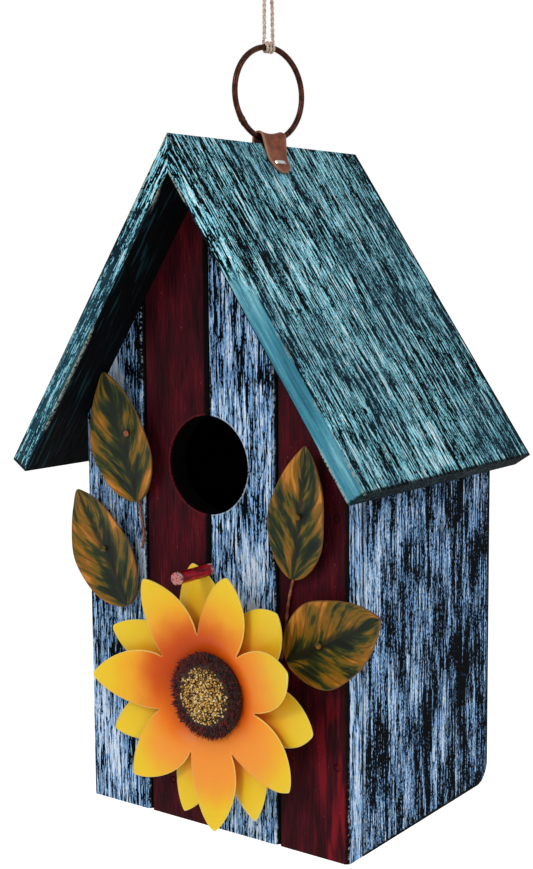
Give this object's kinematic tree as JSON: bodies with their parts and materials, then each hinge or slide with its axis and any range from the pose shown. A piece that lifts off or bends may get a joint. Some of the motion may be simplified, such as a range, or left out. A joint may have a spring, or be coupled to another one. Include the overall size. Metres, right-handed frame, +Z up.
{
  "type": "birdhouse",
  "caption": "Hanging wooden birdhouse with a steep gable roof, board front with a round entrance and perch, sheet-metal flower and leaves, and a leather strap, ring and twine loop.",
  "frame": {"origin": "bearing point inside the top of the twine loop, where a hook holds the birdhouse", "axes": "+Z up; +X to the right seen from the front; the front with its entrance faces -Y"},
  "size_m": [0.1678, 0.1302, 0.3485],
  "materials": {
    "roof": "worn teal paint over black, streaked down the slope",
    "blue": "worn light blue paint, distressed down to a dark ground",
    "red": "worn dark red paint",
    "raw_wood": "bare pine",
    "perch": "dark red paint with worn ends",
    "petal": "yellow to orange enamel, cream edges",
    "centre": "rough dark brown seed head with gold stipple",
    "leaf": "olive and brown brushed paint, copper rim",
    "copper": "dull copper",
    "bronze": "aged bronze",
    "steel": "plain steel, dull",
    "leather": "tan leather, pale cut edges",
    "twine": "two-ply jute twine"
  },
  "bodies": {
    "hanger": {"twine_hitch": "twine", "twine_strand_front": "twine", "twine_strand_back": "twine", "twine_knot": "twine", "twine_loop": "twine"},
    "ring": {"hanger_ring": "bronze"},
    "house": {"back_nail_left_1": "steel", "back_nail_left_2": "steel", "back_nail_right_1": "steel", "back_nail_right_2": "steel", "back_wall": "raw_wood", "cleanout_screw": "steel", "cleanout_washer": "steel", "floor_board": "raw_wood", "floor_nail_left": "steel", "floor_nail_right": "steel", "flower_centre": "centre", "flower_screw": "steel", "flower_spacer": "steel", "front_board_1": "blue", "front_board_2": "red", "front_board_3": "blue", "front_board_4": "red", "front_cleat": "raw_wood", "front_floor_nail_left": "steel", "front_floor_nail_right": "steel", "front_nail_left_1": "steel", "front_nail_left_2": "steel", "front_nail_right_1": "steel", "front_nail_right_2": "steel", "hanger_strap": "leather", "leaf_lower_left": "leaf", "leaf_lower_right": "leaf", "leaf_nail_lower_left": "copper", "leaf_nail_lower_right": "copper", "leaf_nail_upper_left": "copper", "leaf_nail_upper_right": "copper", "leaf_stem_left": "copper", "leaf_stem_right": "copper", "leaf_upper_left": "leaf", "leaf_upper_right": "leaf", "perch": "perch", "petals_back": "petal", "petals_front": "petal", "roof_nail_left_1": "steel", "roof_nail_left_2": "steel", "roof_nail_left_3": "steel", "roof_nail_right_1": "steel", "roof_nail_right_2": "steel", "roof_nail_right_3": "steel", "roof_panel_left": "roof", "roof_panel_right": "roof", "side_wall_left": "blue", "side_wall_right": "blue", "strap_staple_left": "steel", "strap_staple_right": "steel"},
    "cleanout_cover": {"cleanout_cover": "steel"}
  },
  "joints": [
    {"name": "ring_swing", "type": "hinge", "parent": "hanger", "child": "ring", "pos_m": [0, 0, -0.06155], "axis": [0.9816, -0.1908, 0], "range_deg": [-25, 25]},
    {"name": "house_swing", "type": "hinge", "parent": "ring", "child": "house", "pos_m": [0, 0, -0.0794], "axis": [0.1908, 0.9816, 0], "range_deg": [-60, 60]},
    {"name": "cover_swivel", "type": "hinge", "parent": "house", "child": "cleanout_cover", "pos_m": [-0.02, 0.023, -0.3374], "axis": [0, 0, 1], "range_deg": [-105, 0]}
  ]
}
